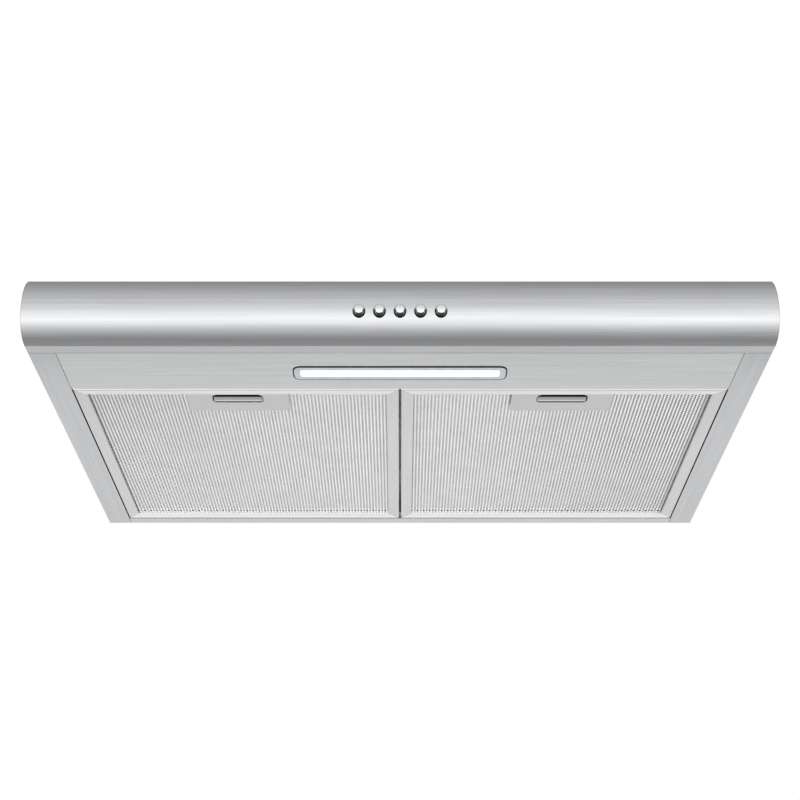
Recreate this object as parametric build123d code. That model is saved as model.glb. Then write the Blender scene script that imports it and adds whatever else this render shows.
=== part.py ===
from build123d import *
from math import cos, radians, sin
import os

# Under-cabinet range hood, 750 mm wide. Millimetres, +Z up, front towards -Y.
# The origin is the centre of the cabinet screw pattern, on the top face of the deck.

# Casing
HALF_WIDTH = 375.0
BACK_Y = 150.0
BASE_Z = -130.0
SHEET = 0.8
DECK_FRONT_Y = -150.0
SEAM_Y = -305.0
SEAM_GAP = 0.5
SIDE_FLANGE = 27.5
REAR_FLANGE = 15.0
OPENING_HALF = HALF_WIDTH - SIDE_FLANGE
WALL_X = HALF_WIDTH - SHEET

# Rounded visor, measured from the seam and the base
VISOR_DEPTH = 45.0
VISOR_HEIGHT = 73.0
VISOR_LOWER_RADIUS = 31.0
VISOR_UPPER_RADIUS = 37.0
VISOR_FRONT_Y = SEAM_Y - VISOR_DEPTH
VISOR_TOP_Z = BASE_Z + VISOR_HEIGHT
VISOR_TOP_END_Y = -296.0
LIP_HEIGHT = 12.0

# Cabinet screws, four in a rectangle
SCREW_SPACING_X = 600.0
SCREW_SPACING_Y = 240.0
SCREW_HOLE_RADIUS = 2.75
FOOT_RADIUS = 16.0
FOOT_TOP_RADIUS = 13.0
FOOT_HEIGHT = 2.4

# Lamp panel and lamp
PANEL_REAR_Y = -226.0
PANEL_LIP_TOP_Z = -113.0
LAMP_Y = -262.0
LAMP_LENGTH = 221.4
LAMP_WIDTH = 28.0
LAMP_CORNER = 8.0
DIFFUSER_LENGTH = 205.5
DIFFUSER_WIDTH = 13.6
LAMP_PROUD = 0.8

# Grease filters
FILTER_OUTER_X = 346.7
FILTER_INNER_X = 1.0
FILTER_FRONT_Y = -224.6
FILTER_REAR_Y = 134.0
FILTER_TOP_Z = -120.0
BAR_SIDE = 13.6
BAR_FRONT = 11.5
BAR_REAR = 14.5
BAR_ROLL = 1.6
BAR_LIP = 3.3
MESH_INSET = 5.0
MESH_Z = -126.6
PACK_Z = -124.2
REAR_MESH_Z = -121.6
FACE_MESH = 0.7
PACK_SHEET = 0.9
FILTER_CENTRE_X = (FILTER_OUTER_X + FILTER_INNER_X) / 2

# Filter hinge
HINGE_Y = 128.0
HINGE_Z = -125.0
PEG_RADIUS = 2.0
PEG_CLEARANCE = 0.08

# Filter latch
HANDLE_WIDTH = 109.0
HANDLE_REAR_Y = -174.0
SLOT_LENGTH = 54.3
SLOT_FRONT_Y = -211.6
SLOT_REAR_Y = -191.7
HANDLE_Z = -129.4
HANDLE_SHEET = 1.0
TAB_FRONT_Y = -202.0
TAB_REAR_Y = -190.9
LATCH_GAP = 0.4
CUP_HALF = 31.0
CUP_REAR_Y = -175.2
TONGUE_HALF = 15.0

# Push buttons
BUTTON_COUNT = 5
BUTTON_PITCH = 20.3
BUTTON_Z = -107.0
BUTTON_RADIUS = 5.5
BUTTON_FRONT_Y = -355.4
DOME_RADIUS = 19.0
BUTTON_HOLE_RADIUS = 6.4
STEM_RADIUS = 2.0
STEM_END_Y = -326.5
SWITCH_FRONT_Y = -334.0
SWITCH_REAR_Y = -313.9

# Blower
FAN_X = -195.0
FAN_Y = -10.0
FAN_RADIUS = 80.0
BLADE_COUNT = 28
SCROLL_RADIUS = 90.0
SCROLL_STEP = 8.0
SCROLL_WALL = 2.0
SCROLL_BOTTOM_Z = -92.0
SCROLL_SPLIT_Z = -60.0
SCROLL_TOP_Z = -28.0
SCROLL_EXIT = 130.0
TONGUE_RISE = 40.0
INLET_RADIUS = 62.0
MOTOR_RADIUS = 42.0
MOTOR_TOP_Z = -20.0
MOTOR_BOTTOM_Z = -58.0
SHAFT_RADIUS = 4.0
SHAFT_CLEARANCE = 0.05
ARM_ANGLES = (30, 150, 270)

# Outlet and damper
DUCT_X = 0.0
DUCT_Y = 66.0
DUCT_RADIUS = 59.5
DUCT_WALL = 1.0
DUCT_TOP_Z = 38.0
PLENUM_HALF = 65.0
FLAP_RADIUS = 57.6
FLAP_Z = 12.0
FLAP_SHEET = 1.0
PIN_RADIUS = 1.5
KNUCKLE_RADIUS = 3.2
LEFT_KNUCKLES = ((-45, -25), (5, 25))
RIGHT_KNUCKLES = ((-22, 2), (28, 48))

# Mains connection
INLET_X = 262.0
INLET_Y = 118.0
BUSHING_BORE = 4.5
BUSHING_RADIUS = 9.0
BOX_LEFT_X = 200.0
BOX_RIGHT_X = 290.0
BOX_FRONT_Y = 88.0
BOX_REAR_Y = 149.2
BOX_BOTTOM_Z = -45.0
WIRE_RADIUS = 2.5
WIRE_Z = -5.0


def block(x0, x1, y0, y1, z0, z1):
    """A box between two corners."""
    centre = Pos((x0 + x1) / 2, (y0 + y1) / 2, (z0 + z1) / 2)
    return centre * Box(abs(x1 - x0), abs(y1 - y0), abs(z1 - z0))


def post(x, y, radius, z0, z1):
    """An upright cylinder."""
    return Pos(x, y, (z0 + z1) / 2) * Cylinder(radius, z1 - z0)


def rod(radius, start, end):
    """A round bar between two points."""
    along = Vector(*end) - Vector(*start)
    section = Plane(origin=start, z_dir=along) * Circle(radius)
    return extrude(section, amount=along.length)


def ring(x, y, outer, inner, z0, z1):
    """A flat washer or a tube."""
    return post(x, y, outer, z0, z1) - post(x, y, inner, z0 - 1, z1 + 1)


def slot_block(x, y, length, width, corner, z0, z1):
    """A block with rounded upright corners."""
    face = Pos(x, y, z0) * RectangleRounded(length, width, corner)
    return extrude(face, amount=z1 - z0)


def section_along_x(points, x0, x1):
    """A prism along X from an outline of (y, z) points."""
    face = Plane.YZ.offset(x0) * make_face(Polyline(*points, close=True))
    return extrude(face, amount=x1 - x0)


def coil(mean_radius, wire, pitch, start, length):
    """A helical spring along Y from a start point."""
    path = Helix(pitch=pitch, height=length, radius=mean_radius)
    wire_face = Plane(origin=path @ 0, z_dir=path % 0) * Circle(wire)
    spring = sweep(wire_face, path=path, is_frenet=True)
    return Pos(*start) * Rot(-90, 0, 0) * spring


def mirrored(shape):
    """The same shape on the other side of the hood."""
    return mirror(shape, about=Plane.YZ)


def save(name, *shapes):
    """Writes one sub-part, as one solid or a group of solids."""
    solids = [solid for shape in shapes for solid in shape.solids()]
    whole = solids[0] if len(solids) == 1 else Compound(children=solids)
    export_step(whole, f"parts/{name}.step")


# Casing


def canopy_underside():
    """The deck and shoulder line, as (y, z) points from the front."""
    front = VISOR_TOP_END_Y - 15
    return [
        (front, VISOR_TOP_Z),
        (VISOR_TOP_END_Y, VISOR_TOP_Z),
        (DECK_FRONT_Y, -SHEET),
        (BACK_Y, -SHEET),
    ]


def screw_points():
    return [
        (sx * SCREW_SPACING_X / 2, sy * SCREW_SPACING_Y / 2) for sx in (-1, 1) for sy in (-1, 1)
    ]


def rivet_points():
    """Rivets that join the deck to the side panels."""
    return [(sx * (WALL_X - 6), y) for sx in (-1, 1) for y in (-130, -45, 45, 130)]


def collar_rivet_points():
    reach = 65.0
    angles = (45, 135, 225, 315)
    return [(DUCT_X + reach * cos(radians(a)), DUCT_Y + reach * sin(radians(a))) for a in angles]


def pressed_cone(x, y, z):
    """The cone of a pressed foot, with its base at z."""
    return Pos(x, y, z + FOOT_HEIGHT / 2) * Cone(FOOT_RADIUS, FOOT_TOP_RADIUS, FOOT_HEIGHT)


def canopy_shell():
    """Deck, sloping shoulder and the flange that laps on the visor, bent from one sheet.

    A foot pressed up round each cabinet screw holds the rivet heads clear of the cabinet.
    """
    under = canopy_underside()
    over = [(y, z + SHEET) for y, z in under]
    sheet = section_along_x(under + over[::-1], -HALF_WIDTH, HALF_WIDTH)
    sheet -= post(DUCT_X, DUCT_Y, DUCT_RADIUS - DUCT_WALL, -3, 3)
    sheet -= post(INLET_X, INLET_Y, BUSHING_RADIUS, -3, 3)
    for x, y in screw_points():
        sheet += pressed_cone(x, y, 0)
        sheet -= pressed_cone(x, y, -SHEET) - post(x, y, SCREW_HOLE_RADIUS + SHEET, -3, 3)
        sheet -= post(x, y, SCREW_HOLE_RADIUS, -3, 3)
    for x, y in rivet_points() + collar_rivet_points():
        sheet -= post(x, y, 1.7, -3, 3)
    return sheet


def side_panel():
    """Right-hand wall with its bottom flange and the flange under the deck."""
    front = SEAM_Y + SEAM_GAP
    under = canopy_underside()
    outline = [(front, BASE_Z), (BACK_Y, BASE_Z), under[3], under[2], under[1], (front, VISOR_TOP_Z)]
    wall = section_along_x(outline, WALL_X, HALF_WIDTH)
    wall += block(OPENING_HALF, HALF_WIDTH, front, BACK_Y, BASE_Z, BASE_Z + SHEET)
    wall += block(WALL_X - 12, HALF_WIDTH, -140, 140, -2 * SHEET, -SHEET)
    for x, y in rivet_points():
        wall -= post(abs(x), y, 1.7, -3, 3)
    return wall


def back_panel():
    """Rear wall with the bottom strip behind the filters and a flange under the deck."""
    inside = OPENING_HALF - SEAM_GAP
    wall = block(-WALL_X, WALL_X, BACK_Y - SHEET, BACK_Y, BASE_Z + SHEET, -SHEET)
    wall += block(-inside, inside, BACK_Y - REAR_FLANGE, BACK_Y, BASE_Z, BASE_Z + SHEET)
    wall += block(-180, 180, BACK_Y - 12, BACK_Y, -2 * SHEET, -SHEET)
    return wall


def visor_line(inset):
    """The visor's outline from the seam round the front to the top, inset by a distance."""
    low = BASE_Z + inset
    high = VISOR_TOP_Z - inset
    lower_centre = (SEAM_Y - VISOR_DEPTH + VISOR_LOWER_RADIUS, BASE_Z + VISOR_LOWER_RADIUS)
    upper_centre = (SEAM_Y - VISOR_DEPTH + VISOR_UPPER_RADIUS, VISOR_TOP_Z - VISOR_UPPER_RADIUS)
    front = VISOR_FRONT_Y + inset
    return [
        Line((SEAM_Y, low), (lower_centre[0], low)),
        CenterArc(lower_centre, VISOR_LOWER_RADIUS - inset, 270, -90),
        Line((front, lower_centre[1]), (front, upper_centre[1])),
        CenterArc(upper_centre, VISOR_UPPER_RADIUS - inset, 180, -90),
        Line((upper_centre[0], high), (VISOR_TOP_END_Y, high)),
    ]


def button_xs():
    first = -(BUTTON_COUNT - 1) / 2 * BUTTON_PITCH
    return [first + i * BUTTON_PITCH for i in range(BUTTON_COUNT)]


def visor_front():
    """Rolled front sheet with a turned-up lip at the seam and the button holes."""
    outer = visor_line(0)
    inner = visor_line(SHEET)
    ends = [Line(outer[0] @ 0, inner[0] @ 0), Line(outer[-1] @ 1, inner[-1] @ 1)]
    face = make_face(outer + inner + ends)
    sheet = extrude(Plane.YZ.offset(-WALL_X) * face, amount=2 * WALL_X)
    sheet += block(-WALL_X, WALL_X, SEAM_Y - SHEET, SEAM_Y, BASE_Z, BASE_Z + LIP_HEIGHT)
    for x in button_xs():
        front = (x, VISOR_FRONT_Y - 2, BUTTON_Z)
        sheet -= rod(BUTTON_HOLE_RADIUS, front, (x, VISOR_FRONT_Y + 6, BUTTON_Z))
    return sheet


def visor_end_cap():
    """Right-hand end plate that closes the visor."""
    outer = visor_line(0)[:4]
    top = Line(outer[3] @ 1, (SEAM_Y, VISOR_TOP_Z))
    rear = Line((SEAM_Y, VISOR_TOP_Z), (SEAM_Y, BASE_Z))
    face = make_face(outer + [top, rear])
    return extrude(Plane.YZ.offset(WALL_X) * face, amount=SHEET)


def lamp_panel():
    """Flat panel between the visor and the filters, with turned-up edges."""
    half = OPENING_HALF - SEAM_GAP
    front = SEAM_Y + SEAM_GAP
    panel = block(-half, half, front, PANEL_REAR_Y, BASE_Z, BASE_Z + SHEET)
    panel += block(-half, half, front, front + SHEET, BASE_Z, BASE_Z + LIP_HEIGHT)
    panel += block(-half, half, PANEL_REAR_Y - SHEET, PANEL_REAR_Y, BASE_Z, PANEL_LIP_TOP_Z)
    for side in (-1, 1):
        lip = block(half - SHEET, half, front, PANEL_REAR_Y, BASE_Z, BASE_Z + LIP_HEIGHT)
        panel += lip if side > 0 else mirrored(lip)
        centre = side * FILTER_CENTRE_X
        reach = TONGUE_HALF + 2
        panel -= block(centre - reach, centre + reach, PANEL_REAR_Y - 3, PANEL_REAR_Y + 3, -124.4, -120.6)
    panel -= slot_block(0, LAMP_Y, LAMP_LENGTH - 4, LAMP_WIDTH - 4, LAMP_CORNER - 2, BASE_Z - 1, BASE_Z + 2)
    return panel


# Lamp


def lamp_bezel():
    """Clear surround that clips into the panel from below."""
    low = BASE_Z - LAMP_PROUD
    rim = slot_block(0, LAMP_Y, LAMP_LENGTH, LAMP_WIDTH, LAMP_CORNER, low, BASE_Z)
    rim += slot_block(0, LAMP_Y, LAMP_LENGTH - 5, LAMP_WIDTH - 5, LAMP_CORNER - 2.5, BASE_Z, BASE_Z + 2.5)
    window = slot_block(0, LAMP_Y, DIFFUSER_LENGTH, DIFFUSER_WIDTH, 1.5, low - 1, BASE_Z + 4)
    return rim - window


def lamp_diffuser():
    """Opal window in the middle of the lamp."""
    low = BASE_Z - LAMP_PROUD + 0.3
    gap = 0.3
    return slot_block(0, LAMP_Y, DIFFUSER_LENGTH - gap, DIFFUSER_WIDTH - gap, 1.3, low, BASE_Z + 3)


def lamp_housing():
    """White pressed tray over the lamp opening, with a foot all round."""
    base = BASE_Z + SHEET
    tray = block(-112, 112, LAMP_Y - 18, LAMP_Y + 18, base, -112)
    tray -= block(-112 + SHEET, 112 - SHEET, LAMP_Y - 18 + SHEET, LAMP_Y + 18 - SHEET, base - 1, -112 - SHEET)
    foot = block(-118, 118, LAMP_Y - 22, LAMP_Y + 22, base, base + SHEET)
    foot -= block(-111.5, 111.5, LAMP_Y - 17.5, LAMP_Y + 17.5, base - 1, base + 2)
    return tray + foot


def led_board():
    """Circuit strip with a row of light-emitting diodes."""
    top = -112 - SHEET
    board = block(-104, 104, LAMP_Y - 8, LAMP_Y + 8, top - 1.6, top)
    for i in range(18):
        x = -98.6 + i * 11.6
        board += block(x - 1.8, x + 1.8, LAMP_Y - 1.4, LAMP_Y + 1.4, top - 2.4, top - 1.6)
    return board


def led_driver():
    """Small closed power supply for the lamp."""
    base = BASE_Z + SHEET
    case = slot_block(182, -276, 64, 28, 3, base, -108)
    return case + block(146, 218, -280, -272, base, base + 2)


# Filters, drawn on the right-hand side


def bar_section(width):
    """Rolled channel of a filter bar, as a face of (inward, up) from the outer edge."""
    roll = BAR_ROLL
    wall = SHEET
    floor = BASE_Z + wall
    top = FILTER_TOP_Z
    lip = BASE_Z + BAR_LIP
    edges = [
        Polyline((0, BASE_Z + roll), (0, top), (10, top), (10, top - wall), (wall, top - wall), (wall, BASE_Z + roll)),
        CenterArc((roll, BASE_Z + roll), roll - wall, 180, 90),
        Polyline((roll, floor), (width - wall, floor), (width - wall, lip), (width, lip), (width, BASE_Z + 1)),
        CenterArc((width - 1, BASE_Z + 1), 1, 0, -90),
        Line((width - 1, BASE_Z), (roll, BASE_Z)),
        CenterArc((roll, BASE_Z + roll), roll, 270, -90),
    ]
    return make_face(edges)


def filter_bar(start, end, inner_start, inner_end, width, inward):
    """One bar of the frame, cut to its mitres."""
    along = Vector(*end) - Vector(*start)
    section = Plane(origin=start, x_dir=inward, z_dir=along) * bar_section(width)
    bar = extrude(section, amount=along.length)
    plan = make_face(Polyline(start, end, inner_end, inner_start, close=True))
    return bar & extrude(plan, amount=200, both=True)


def filter_frame():
    """Four mitred bars round the filter."""
    x0, x1 = FILTER_INNER_X, FILTER_OUTER_X
    y0, y1 = FILTER_FRONT_Y, FILTER_REAR_Y
    outer = [(x0, y0, 0), (x1, y0, 0), (x1, y1, 0), (x0, y1, 0)]
    wx0, wx1 = x0 + BAR_SIDE, x1 - BAR_SIDE
    wy0, wy1 = y0 + BAR_FRONT, y1 - BAR_REAR
    inner = [(wx0, wy0, 0), (wx1, wy0, 0), (wx1, wy1, 0), (wx0, wy1, 0)]
    widths = [BAR_FRONT, BAR_SIDE, BAR_REAR, BAR_SIDE]
    inwards = [(0, 1, 0), (-1, 0, 0), (0, -1, 0), (1, 0, 0)]
    bars = []
    for i in range(4):
        j = (i + 1) % 4
        bars.append(filter_bar(outer[i], outer[j], inner[i], inner[j], widths[i], inwards[i]))
    reach = TONGUE_HALF + 1
    slot = block(FILTER_CENTRE_X - reach, FILTER_CENTRE_X + reach, y0 - 1, y0 + 2, -123.6, -121.4)
    bars[0] -= slot
    hole = PEG_RADIUS + PEG_CLEARANCE
    bars[1] -= rod(hole, (x1 - 2, HINGE_Y, HINGE_Z), (x1 + 1, HINGE_Y, HINGE_Z))
    bars[3] -= rod(hole, (x0 - 1, HINGE_Y, HINGE_Z), (x0 + 2, HINGE_Y, HINGE_Z))
    return bars


def mesh_layer(z0, z1):
    """One layer of the filter, notched round the latch cup."""
    inset = MESH_INSET
    layer = block(
        FILTER_INNER_X + inset, FILTER_OUTER_X - inset, FILTER_FRONT_Y + inset, FILTER_REAR_Y - inset, z0, z1
    )
    reach = CUP_HALF + 0.6
    notch = block(
        FILTER_CENTRE_X - reach, FILTER_CENTRE_X + reach, FILTER_FRONT_Y, CUP_REAR_Y + 0.6, z0 - 1, z1 + 1
    )
    return layer - notch


def handle_plate():
    """Plain plate over the latch, with the finger slot."""
    front = FILTER_FRONT_Y + BAR_FRONT + 0.1
    half = HANDLE_WIDTH / 2
    plate = block(
        FILTER_CENTRE_X - half, FILTER_CENTRE_X + half, front, HANDLE_REAR_Y, HANDLE_Z, HANDLE_Z + HANDLE_SHEET
    )
    slot_y = (SLOT_FRONT_Y + SLOT_REAR_Y) / 2
    slot_width = SLOT_REAR_Y - SLOT_FRONT_Y
    return plate - slot_block(
        FILTER_CENTRE_X, slot_y, SLOT_LENGTH, slot_width, 6, HANDLE_Z - 1, HANDLE_Z + 2
    )


def latch_cup():
    """Moulded well behind the handle plate that carries the latch."""
    low = HANDLE_Z + HANDLE_SHEET
    high = FILTER_TOP_Z - 0.9
    front = FILTER_FRONT_Y + BAR_FRONT + 0.05
    wall = 0.8
    x0, x1 = FILTER_CENTRE_X - CUP_HALF, FILTER_CENTRE_X + CUP_HALF
    cup = block(x0, x1, front, CUP_REAR_Y, low, high)
    cup -= block(x0 + wall, x1 - wall, front + wall, CUP_REAR_Y - wall, low - 1, high - wall)
    reach = TONGUE_HALF + 1
    cup -= block(FILTER_CENTRE_X - reach, FILTER_CENTRE_X + reach, front - 1, front + 2, -123.6, -121.4)
    return cup


def latch_slide():
    """Pull tab with a crowned face, its web and the tongue that holds the filter up."""
    rear = TAB_REAR_Y
    edges = [
        ThreePointArc((TAB_FRONT_Y, -127.0), (-196.8, -128.3), (rear, -127.2)),
        Polyline((rear, -127.2), (rear, -121.9), (TAB_FRONT_Y, -121.9), (TAB_FRONT_Y, -127.0)),
    ]
    half = SLOT_LENGTH / 2 - 1
    outline = Plane.YZ.offset(FILTER_CENTRE_X - half) * make_face(edges)
    tab = extrude(outline, amount=2 * half)
    tab -= block(
        FILTER_CENTRE_X - half - 1, FILTER_CENTRE_X + half + 1, TAB_FRONT_Y + 1, rear - 1, -124.4, -123
    )
    tongue_front = PANEL_REAR_Y + LATCH_GAP
    plate = block(FILTER_CENTRE_X - 25, FILTER_CENTRE_X + 25, -212, TAB_FRONT_Y, -122.9, -121.9)
    tongue = block(
        FILTER_CENTRE_X - TONGUE_HALF, FILTER_CENTRE_X + TONGUE_HALF, tongue_front, -212, -122.9, -121.9
    )
    return tab + plate + tongue


def latch_springs():
    """Two small coils behind the latch, drawn at their pressed length."""
    springs = []
    for offset in (-16, 16):
        start = (FILTER_CENTRE_X + offset, -183.4, -124.2)
        springs.append(coil(1.5, 0.25, 1.2, start, 6.9))
    return springs


# What the filters hang on


def hinge_bracket():
    """Right-hand angle on the side flange, with the peg that the filter turns on."""
    base = BASE_Z + SHEET
    ear_x = OPENING_HALF + 0.5
    foot = block(ear_x, ear_x + 22, 116, 140, base, base + 1)
    ear = block(ear_x, ear_x + 1.2, 116, 140, base, -117)
    peg = rod(PEG_RADIUS, (ear_x + 0.6, HINGE_Y, HINGE_Z), (FILTER_OUTER_X - 3.4, HINGE_Y, HINGE_Z))
    return foot + ear + peg


def centre_rail():
    """Rail above the gap between the filters, with the blade and pegs that they share."""
    rail = block(-14, 14, PANEL_REAR_Y, BACK_Y - SHEET, -114, -113)
    for side in (-1, 1):
        rail += block(side * 13, side * 14, PANEL_REAR_Y, BACK_Y - SHEET, -113, -107)
    blade = block(-0.5, 0.5, 118, 140, -128.6, -113.5)
    pegs = rod(PEG_RADIUS, (-5, HINGE_Y, HINGE_Z), (5, HINGE_Y, HINGE_Z))
    return rail + blade + pegs


# Blower


def scroll_plan(grow):
    """Spiral outline round the fan, in plan, grown outwards by a distance."""
    step = SCROLL_STEP
    r1 = SCROLL_RADIUS + grow
    r2 = r1 + step
    r3 = r2 + step
    x, y = FAN_X, FAN_Y
    exit_x = x + SCROLL_EXIT
    outer_y = y + step + r3
    inner_y = y + TONGUE_RISE - grow
    nose = 6 - grow
    edges = [
        CenterArc((x, y), r1, 0, -90),
        CenterArc((x, y + step), r2, 270, -90),
        CenterArc((x + step, y + step), r3, 180, -90),
        Polyline((x + step, outer_y), (exit_x, outer_y), (exit_x, inner_y), (x + r1 + nose, inner_y)),
        CenterArc((x + r1 + nose, inner_y - nose), nose, 90, 90),
        Line((x + r1, inner_y - nose), (x + r1, y)),
    ]
    return make_face(edges)


def scroll_half(z0, z1, plate_z0, inlet):
    """One half of the scroll, with its end plate and air inlet, open at the outlet."""
    outer = extrude(Pos(0, 0, z0) * scroll_plan(SCROLL_WALL), amount=z1 - z0)
    inner = extrude(Pos(0, 0, z0) * scroll_plan(0), amount=z1 - z0)
    shell = outer - inner
    end = FAN_X + SCROLL_EXIT
    shell -= block(end - 5, end + 5, FAN_Y + TONGUE_RISE, FAN_Y + 113, z0, z1)
    plate = extrude(Pos(0, 0, plate_z0) * scroll_plan(0.5), amount=SCROLL_WALL)
    plate -= post(FAN_X, FAN_Y, inlet, plate_z0 - 1, plate_z0 + 4)
    return shell + plate


def scroll_lower():
    return scroll_half(SCROLL_BOTTOM_Z, SCROLL_SPLIT_Z, SCROLL_BOTTOM_Z, INLET_RADIUS)


def lug_points():
    """Where the scroll hangs from the deck."""
    return [
        (FAN_X - SCROLL_RADIUS - SCROLL_STEP - 5, FAN_Y + SCROLL_STEP),
        (FAN_X, FAN_Y - SCROLL_RADIUS - 5),
        (FAN_X + 60, FAN_Y + SCROLL_RADIUS + 3 * SCROLL_STEP + 5),
        (FAN_X + SCROLL_RADIUS + 5, FAN_Y + 15),
    ]


def scroll_upper():
    half = scroll_half(SCROLL_SPLIT_Z, SCROLL_TOP_Z, SCROLL_TOP_Z - SCROLL_WALL, INLET_RADIUS - 2)
    for x, y in lug_points():
        half += post(x, y, 5.5, SCROLL_SPLIT_Z, -SHEET)
    return half


def intake_grille():
    """Finger guard under the fan inlet."""
    z0 = SCROLL_BOTTOM_Z - 2.5
    guard = ring(FAN_X, FAN_Y, 70, 64, z0, SCROLL_BOTTOM_Z)
    for radius in (20, 36, 50):
        guard += ring(FAN_X, FAN_Y, radius, radius - 2.5, z0, z0 + 2)
    for i in range(6):
        spoke = Pos(FAN_X, FAN_Y, z0 + 1) * Rot(0, 0, 60 * i) * Pos(42, 0, 0) * Box(48, 2.5, 2)
        guard += spoke
    return guard


def motor():
    """Closed motor can with end bosses and a blind bearing bore for the shaft."""
    can = post(FAN_X, FAN_Y, MOTOR_RADIUS, MOTOR_BOTTOM_Z + 4, MOTOR_TOP_Z - 4)
    can += post(FAN_X, FAN_Y, MOTOR_RADIUS - 4, MOTOR_BOTTOM_Z, MOTOR_TOP_Z)
    for i in range(12):
        rib = Pos(FAN_X, FAN_Y, -39) * Rot(0, 0, 30 * i) * Pos(MOTOR_RADIUS, 0, 0) * Box(4, 3, 24)
        can += rib
    return can - post(FAN_X, FAN_Y, SHAFT_RADIUS + SHAFT_CLEARANCE, MOTOR_BOTTOM_Z - 1, -24)


def motor_shaft():
    return post(FAN_X, FAN_Y, SHAFT_RADIUS, -82, -24.5)


def motor_bracket():
    """Three-armed spider that holds the motor in the upper inlet."""
    top = MOTOR_TOP_Z + 2
    spider = post(FAN_X, FAN_Y, 24, MOTOR_TOP_Z, top)
    foot_z = SCROLL_TOP_Z + 3
    for angle in ARM_ANGLES:
        place = Pos(FAN_X, FAN_Y, 0) * Rot(0, 0, angle)
        spider += place * block(0, 72, -7, 7, MOTOR_TOP_Z, top)
        spider += place * block(70.5, 72, -7, 7, foot_z, top)
        foot = place * block(63, 84, -7, 7, foot_z, foot_z + 1.5)
        spider += foot
    return spider


def motor_grommets():
    """Rubber feet between the spider and the scroll."""
    feet = []
    for angle in ARM_ANGLES:
        x = FAN_X + 78 * cos(radians(angle))
        y = FAN_Y + 78 * sin(radians(angle))
        feet.append(post(x, y, 5.5, SCROLL_TOP_Z, SCROLL_TOP_Z + 3))
    return feet


def impeller():
    """Double-inlet wheel: a centre disc, a ring of curved blades and two end rings."""
    wheel = post(FAN_X, FAN_Y, FAN_RADIUS, -67, -65.5)
    wheel += post(FAN_X, FAN_Y, 11, -74, -60.5)
    wheel -= post(FAN_X, FAN_Y, SHAFT_RADIUS, -90, -50)
    blade = make_face(
        [
            ThreePointArc((65, 0), (72.5, 2.2), (79.4, 7.5)),
            Line((79.4, 7.5), (78.6, 8.3)),
            ThreePointArc((78.6, 8.3), (71.9, 3.3), (65, 1.2)),
            Line((65, 1.2), (65, 0)),
        ]
    )
    for i in range(BLADE_COUNT):
        turn = Pos(FAN_X, FAN_Y, -88) * Rot(0, 0, 360 / BLADE_COUNT * i)
        wheel += extrude(turn * blade, amount=54)
    wheel += ring(FAN_X, FAN_Y, FAN_RADIUS, 68, -89.2, -87.5)
    wheel += ring(FAN_X, FAN_Y, FAN_RADIUS, 68, -34.5, -33)
    return wheel


def capacitor():
    """Round run capacitor, held against the deck."""
    return rod(12.5, (-30, -88, -SHEET - 12.5), (-30, -42, -SHEET - 12.5))


# Outlet


def outlet_plenum():
    """Box that turns the air from the scroll up into the duct collar."""
    x0, x1 = FAN_X + SCROLL_EXIT, DUCT_X + PLENUM_HALF + 1
    y0, y1 = DUCT_Y - PLENUM_HALF - 1, DUCT_Y + PLENUM_HALF + 1
    wall = 1.5
    box = block(x0, x1, y0, y1, SCROLL_BOTTOM_Z, -SHEET)
    box -= block(x0 + wall, x1 - wall, y0 + wall, y1 - wall, SCROLL_BOTTOM_Z + wall, -SHEET - wall)
    box -= post(DUCT_X, DUCT_Y, DUCT_RADIUS - DUCT_WALL, -10, 5)
    low = SCROLL_BOTTOM_Z + SCROLL_WALL
    high = SCROLL_TOP_Z - SCROLL_WALL
    return box - block(x0 - 1, x0 + 3, FAN_Y + TONGUE_RISE, FAN_Y + 112, low, high)


def duct_collar():
    """Round spigot with a foot flange and the ledge that the flaps rest on."""
    inner = DUCT_RADIUS - DUCT_WALL
    collar = ring(DUCT_X, DUCT_Y, DUCT_RADIUS, inner, 0, DUCT_TOP_Z)
    collar += ring(DUCT_X, DUCT_Y, 71, inner, 0, 1.2)
    collar += ring(DUCT_X, DUCT_Y, inner + 0.5, inner - 2.3, 9.8, 11.1)
    for x, y in collar_rivet_points():
        collar -= post(x, y, 1.7, -1, 3)
    span = DUCT_RADIUS + 2
    return collar - rod(PIN_RADIUS, (DUCT_X, DUCT_Y - span, FLAP_Z), (DUCT_X, DUCT_Y + span, FLAP_Z))


def flap_pin():
    """Pin across the collar that both flaps turn on."""
    span = DUCT_RADIUS
    return rod(PIN_RADIUS, (DUCT_X, DUCT_Y - span, FLAP_Z), (DUCT_X, DUCT_Y + span, FLAP_Z))


def damper_flap(knuckles):
    """Right-hand half-round flap with its knuckles."""
    low = FLAP_Z - FLAP_SHEET / 2
    high = FLAP_Z + FLAP_SHEET / 2
    flap = post(DUCT_X, DUCT_Y, FLAP_RADIUS, low, high)
    flap -= block(-FLAP_RADIUS - 1, 4, DUCT_Y - 70, DUCT_Y + 70, low - 1, high + 1)
    for start, end in knuckles:
        flap += block(0, 5, DUCT_Y + start, DUCT_Y + end, low, high)
        flap += rod(KNUCKLE_RADIUS, (DUCT_X, DUCT_Y + start, FLAP_Z), (DUCT_X, DUCT_Y + end, FLAP_Z))
    bore = PIN_RADIUS + 0.06
    return flap - rod(bore, (DUCT_X, DUCT_Y - 70, FLAP_Z), (DUCT_X, DUCT_Y + 70, FLAP_Z))


# Controls


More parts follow.
